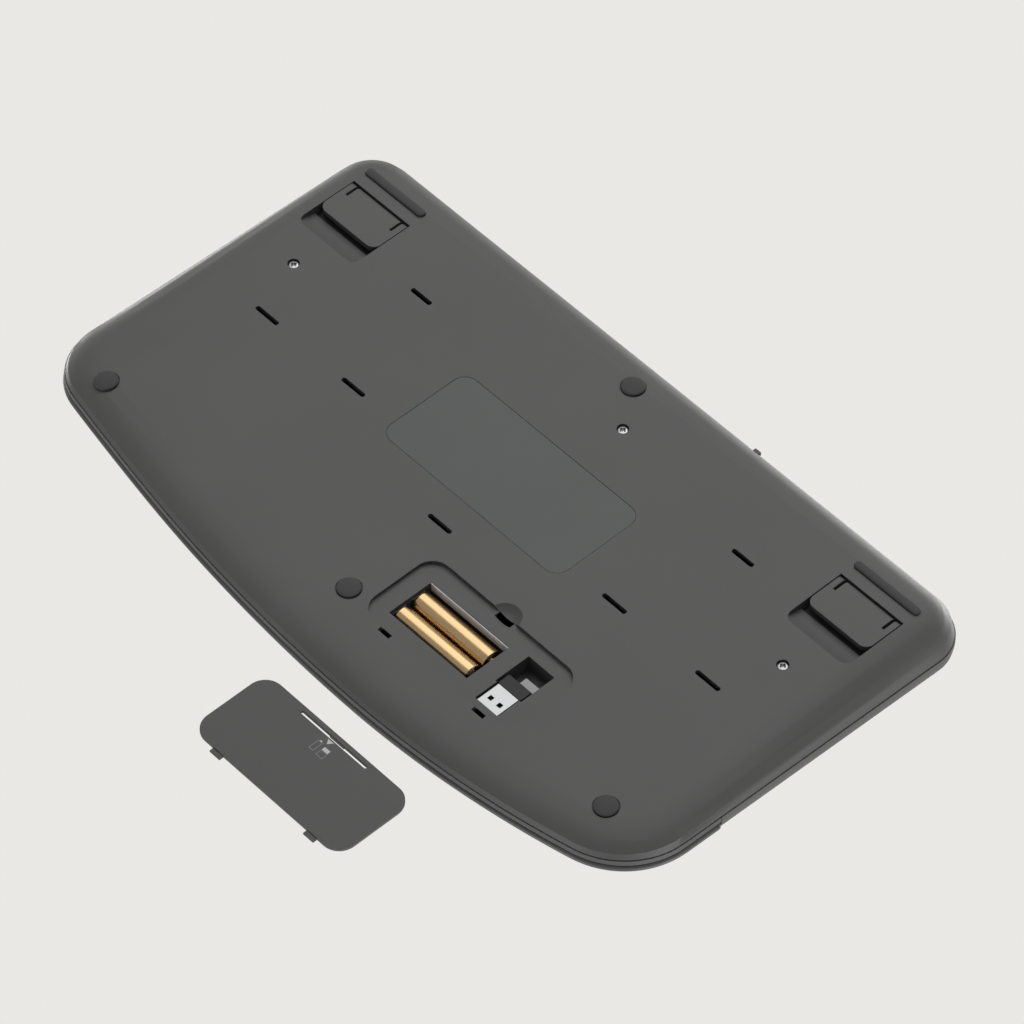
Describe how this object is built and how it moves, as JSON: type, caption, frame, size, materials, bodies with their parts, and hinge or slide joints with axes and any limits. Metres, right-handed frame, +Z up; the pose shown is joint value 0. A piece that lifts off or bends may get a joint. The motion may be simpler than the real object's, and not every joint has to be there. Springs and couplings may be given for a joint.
{
  "type": "ergonomic keyboard",
  "caption": "Full-width wireless keyboard with a wavy key deck, a cushioned palm rest, fold-out feet and an open battery bay, its cover lying in front.",
  "frame": {"origin": "on the desk, under the middle of the keyboard and its loose battery cover taken together", "axes": "+X towards the number pad, +Y towards the back edge, +Z up, keys upwards"},
  "size_m": [0.3766, 0.2818, 0.0307],
  "materials": {
    "case": "fine moulded texture",
    "cushion": "soft matte cover",
    "frame": "plain moulded",
    "keycap": "fine matte",
    "dome_rubber": "translucent silicone, soft sheen",
    "film": "clear printed film",
    "steel": "rolled and zinc plated",
    "cell": "metallic foil wrap, satin",
    "nickel": "nickel plated",
    "plug_shell": "bright, lightly brushed",
    "receiver": "fine matte",
    "pale_plastic": "smooth",
    "foot_rubber": "matte, slightly dusty",
    "screw": "zinc plated",
    "label": "bare printed film, satin",
    "board": "green solder mask"
  },
  "bodies": {
    "case": {"bottom_case": "case", "top_case": "case", "palm_rest_carrier": "case", "palm_rest_cushion": "cushion", "key_frame": "frame", "dome_sheet": "dome_rubber", "membrane": "film", "support_plate": "steel", "battery_contacts": "nickel", "contact_strip": "nickel", "receiver_stop": "pale_plastic", "round_feet": "foot_rubber", "foot_strips": "foot_rubber", "screws": "screw", "label_plate": "label", "circuit_board": "board", "radio_shield": "nickel", "switch_body": "frame"},
    "cover": {"battery_cover": "case"},
    "cell_back": {"battery_back": "cell"},
    "cell_front": {"battery_front": "cell"},
    "receiver": {"receiver_plug": "plug_shell", "receiver_body": "receiver"},
    "leg_right": {"tilt_leg_right": "case"},
    "leg_left": {"tilt_leg_left": "case"},
    "power_switch": {"switch_slider": "pale_plastic"},
    "key_escape": {"key_escape": "keycap"},
    "keys_function_left": {"keys_function_left": "keycap"},
    "keys_function_right": {"keys_function_right": "keycap"},
    "keys_navigation": {"keys_navigation": "keycap"},
    "keys_number_left": {"keys_number_left": "keycap"},
    "keys_number_right": {"keys_number_right": "keycap"},
    "key_backspace": {"key_backspace": "keycap"},
    "key_tab": {"key_tab": "keycap"},
    "keys_top_left": {"keys_top_left": "keycap"},
    "keys_top_right": {"keys_top_right": "keycap"},
    "key_backslash": {"key_backslash": "keycap"},
    "key_caps_lock": {"key_caps_lock": "keycap"},
    "keys_home_left": {"keys_home_left": "keycap"},
    "keys_home_right": {"keys_home_right": "keycap"},
    "key_enter": {"key_enter": "keycap"},
    "key_shift_left": {"key_shift_left": "keycap"},
    "keys_bottom_left": {"keys_bottom_left": "keycap"},
    "keys_bottom_right": {"keys_bottom_right": "keycap"},
    "key_shift_right": {"key_shift_right": "keycap"},
    "key_up": {"key_up": "keycap"},
    "keys_modifier_left": {"keys_modifier_left": "keycap"},
    "key_space": {"key_space": "keycap"},
    "keys_modifier_right": {"keys_modifier_right": "keycap"},
    "key_left": {"key_left": "keycap"},
    "key_down": {"key_down": "keycap"},
    "key_right": {"key_right": "keycap"},
    "keys_pad_operators": {"keys_pad_operators": "keycap"},
    "keys_pad_top": {"keys_pad_top": "keycap"},
    "keys_pad_middle": {"keys_pad_middle": "keycap"},
    "keys_pad_bottom": {"keys_pad_bottom": "keycap"},
    "keys_pad_zero": {"keys_pad_zero": "keycap"},
    "key_pad_plus": {"key_pad_plus": "keycap"},
    "key_pad_enter": {"key_pad_enter": "keycap"}
  },
  "joints": [
    {"name": "key_escape_press", "type": "slide", "parent": "case", "child": "key_escape", "axis": [0, 0.0489, -0.9988], "range_m": [0, 0.0027], "stiffness_N_per_m": 220, "springref_m": -0.002, "deforming": ["dome_sheet"]},
    {"name": "keys_function_left_press", "type": "slide", "parent": "case", "child": "keys_function_left", "axis": [0, 0.0489, -0.9988], "range_m": [0, 0.0027], "stiffness_N_per_m": 1320, "springref_m": -0.002, "deforming": ["dome_sheet"]},
    {"name": "keys_function_right_press", "type": "slide", "parent": "case", "child": "keys_function_right", "axis": [0, 0.0489, -0.9988], "range_m": [0, 0.0027], "stiffness_N_per_m": 1760, "springref_m": -0.002, "deforming": ["dome_sheet"]},
    {"name": "keys_navigation_press", "type": "slide", "parent": "case", "child": "keys_navigation", "axis": [0, 0.0489, -0.9988], "range_m": [0, 0.0027], "stiffness_N_per_m": 880, "springref_m": -0.002, "deforming": ["dome_sheet"]},
    {"name": "keys_number_left_press", "type": "slide", "parent": "case", "child": "keys_number_left", "axis": [0, 0.0489, -0.9988], "range_m": [0, 0.0027], "stiffness_N_per_m": 1320, "springref_m": -0.002, "deforming": ["dome_sheet"]},
    {"name": "keys_number_right_press", "type": "slide", "parent": "case", "child": "keys_number_right", "axis": [0, 0.0489, -0.9988], "range_m": [0, 0.0027], "stiffness_N_per_m": 1540, "springref_m": -0.002, "deforming": ["dome_sheet"]},
    {"name": "key_backspace_press", "type": "slide", "parent": "case", "child": "key_backspace", "axis": [0, 0.0489, -0.9988], "range_m": [0, 0.0027], "stiffness_N_per_m": 220, "springref_m": -0.002, "deforming": ["dome_sheet"]},
    {"name": "key_tab_press", "type": "slide", "parent": "case", "child": "key_tab", "axis": [0, 0.0489, -0.9988], "range_m": [0, 0.0027], "stiffness_N_per_m": 220, "springref_m": -0.002, "deforming": ["dome_sheet"]},
    {"name": "keys_top_left_press", "type": "slide", "parent": "case", "child": "keys_top_left", "axis": [0, 0.0489, -0.9988], "range_m": [0, 0.0027], "stiffness_N_per_m": 1100, "springref_m": -0.002, "deforming": ["dome_sheet"]},
    {"name": "keys_top_right_press", "type": "slide", "parent": "case", "child": "keys_top_right", "axis": [0, 0.0489, -0.9988], "range_m": [0, 0.0027], "stiffness_N_per_m": 1540, "springref_m": -0.002, "deforming": ["dome_sheet"]},
    {"name": "key_backslash_press", "type": "slide", "parent": "case", "child": "key_backslash", "axis": [0, 0.0489, -0.9988], "range_m": [0, 0.0027], "stiffness_N_per_m": 220, "springref_m": -0.002, "deforming": ["dome_sheet"]},
    {"name": "key_caps_lock_press", "type": "slide", "parent": "case", "child": "key_caps_lock", "axis": [0, 0.0489, -0.9988], "range_m": [0, 0.0027], "stiffness_N_per_m": 220, "springref_m": -0.002, "deforming": ["dome_sheet"]},
    {"name": "keys_home_left_press", "type": "slide", "parent": "case", "child": "keys_home_left", "axis": [0, 0.0489, -0.9988], "range_m": [0, 0.0027], "stiffness_N_per_m": 1100, "springref_m": -0.002, "deforming": ["dome_sheet"]},
    {"name": "keys_home_right_press", "type": "slide", "parent": "case", "child": "keys_home_right", "axis": [0, 0.0489, -0.9988], "range_m": [0, 0.0027], "stiffness_N_per_m": 1320, "springref_m": -0.002, "deforming": ["dome_sheet"]},
    {"name": "key_enter_press", "type": "slide", "parent": "case", "child": "key_enter", "axis": [0, 0.0489, -0.9988], "range_m": [0, 0.0027], "stiffness_N_per_m": 220, "springref_m": -0.002, "deforming": ["dome_sheet"]},
    {"name": "key_shift_left_press", "type": "slide", "parent": "case", "child": "key_shift_left", "axis": [0, 0.0489, -0.9988], "range_m": [0, 0.0027], "stiffness_N_per_m": 220, "springref_m": -0.002, "deforming": ["dome_sheet"]},
    {"name": "keys_bottom_left_press", "type": "slide", "parent": "case", "child": "keys_bottom_left", "axis": [0, 0.0489, -0.9988], "range_m": [0, 0.0027], "stiffness_N_per_m": 1100, "springref_m": -0.002, "deforming": ["dome_sheet"]},
    {"name": "keys_bottom_right_press", "type": "slide", "parent": "case", "child": "keys_bottom_right", "axis": [0, 0.0489, -0.9988], "range_m": [0, 0.0027], "stiffness_N_per_m": 1100, "springref_m": -0.002, "deforming": ["dome_sheet"]},
    {"name": "key_shift_right_press", "type": "slide", "parent": "case", "child": "key_shift_right", "axis": [0, 0.0489, -0.9988], "range_m": [0, 0.0027], "stiffness_N_per_m": 220, "springref_m": -0.002, "deforming": ["dome_sheet"]},
    {"name": "key_up_press", "type": "slide", "parent": "case", "child": "key_up", "axis": [0, 0.0489, -0.9988], "range_m": [0, 0.0027], "stiffness_N_per_m": 220, "springref_m": -0.002, "deforming": ["dome_sheet"]},
    {"name": "keys_modifier_left_press", "type": "slide", "parent": "case", "child": "keys_modifier_left", "axis": [0, 0.0489, -0.9988], "range_m": [0, 0.0027], "stiffness_N_per_m": 880, "springref_m": -0.002, "deforming": ["dome_sheet"]},
    {"name": "key_space_press", "type": "slide", "parent": "case", "child": "key_space", "axis": [0, 0.0489, -0.9988], "range_m": [0, 0.0027], "stiffness_N_per_m": 220, "springref_m": -0.002, "deforming": ["dome_sheet"]},
    {"name": "keys_modifier_right_press", "type": "slide", "parent": "case", "child": "keys_modifier_right", "axis": [0, 0.0489, -0.9988], "range_m": [0, 0.0027], "stiffness_N_per_m": 660, "springref_m": -0.002, "deforming": ["dome_sheet"]},
    {"name": "key_left_press", "type": "slide", "parent": "case", "child": "key_left", "axis": [0, 0.0489, -0.9988], "range_m": [0, 0.0027], "stiffness_N_per_m": 220, "springref_m": -0.002, "deforming": ["dome_sheet"]},
    {"name": "key_down_press", "type": "slide", "parent": "case", "child": "key_down", "axis": [0, 0.0489, -0.9988], "range_m": [0, 0.0027], "stiffness_N_per_m": 220, "springref_m": -0.002, "deforming": ["dome_sheet"]},
    {"name": "key_right_press", "type": "slide", "parent": "case", "child": "key_right", "axis": [0, 0.0489, -0.9988], "range_m": [0, 0.0027], "stiffness_N_per_m": 220, "springref_m": -0.002, "deforming": ["dome_sheet"]},
    {"name": "keys_pad_operators_press", "type": "slide", "parent": "case", "child": "keys_pad_operators", "axis": [0, 0.0489, -0.9988], "range_m": [0, 0.0027], "stiffness_N_per_m": 880, "springref_m": -0.002, "deforming": ["dome_sheet"]},
    {"name": "keys_pad_top_press", "type": "slide", "parent": "case", "child": "keys_pad_top", "axis": [0, 0.0489, -0.9988], "range_m": [0, 0.0027], "stiffness_N_per_m": 660, "springref_m": -0.002, "deforming": ["dome_sheet"]},
    {"name": "keys_pad_middle_press", "type": "slide", "parent": "case", "child": "keys_pad_middle", "axis": [0, 0.0489, -0.9988], "range_m": [0, 0.0027], "stiffness_N_per_m": 660, "springref_m": -0.002, "deforming": ["dome_sheet"]},
    {"name": "keys_pad_bottom_press", "type": "slide", "parent": "case", "child": "keys_pad_bottom", "axis": [0, 0.0489, -0.9988], "range_m": [0, 0.0027], "stiffness_N_per_m": 660, "springref_m": -0.002, "deforming": ["dome_sheet"]},
    {"name": "keys_pad_zero_press", "type": "slide", "parent": "case", "child": "keys_pad_zero", "axis": [0, 0.0489, -0.9988], "range_m": [0, 0.0027], "stiffness_N_per_m": 440, "springref_m": -0.002, "deforming": ["dome_sheet"]},
    {"name": "key_pad_plus_press", "type": "slide", "parent": "case", "child": "key_pad_plus", "axis": [0, 0.0489, -0.9988], "range_m": [0, 0.0027], "stiffness_N_per_m": 220, "springref_m": -0.002, "deforming": ["dome_sheet"]},
    {"name": "key_pad_enter_press", "type": "slide", "parent": "case", "child": "key_pad_enter", "axis": [0, 0.0489, -0.9988], "range_m": [0, 0.0027], "stiffness_N_per_m": 220, "springref_m": -0.002, "deforming": ["dome_sheet"]},
    {"name": "cover_lift", "type": "slide", "parent": "case", "child": "cover", "axis": [0, 0, 1], "range_m": [0, 0.06]},
    {"name": "cell_back_removal", "type": "slide", "parent": "case", "child": "cell_back", "axis": [0, 0, -1], "range_m": [0, 0.03]},
    {"name": "cell_front_removal", "type": "slide", "parent": "case", "child": "cell_front", "axis": [0, 0, -1], "range_m": [0, 0.03]},
    {"name": "receiver_removal", "type": "slide", "parent": "case", "child": "receiver", "axis": [0, 0, -1], "range_m": [0, 0.03]},
    {"name": "leg_right_hinge", "type": "hinge", "parent": "case", "child": "leg_right", "pos_m": [0.1526, 0.11048, 0.0042], "axis": [1, 0, 0], "range_deg": [0, 85]},
    {"name": "leg_left_hinge", "type": "hinge", "parent": "case", "child": "leg_left", "pos_m": [-0.1526, 0.11048, 0.0042], "axis": [1, 0, 0], "range_deg": [0, 85]},
    {"name": "power_switch_slide", "type": "slide", "parent": "case", "child": "power_switch", "axis": [1, 0, 0], "range_m": [0, 0.003]}
  ]
}
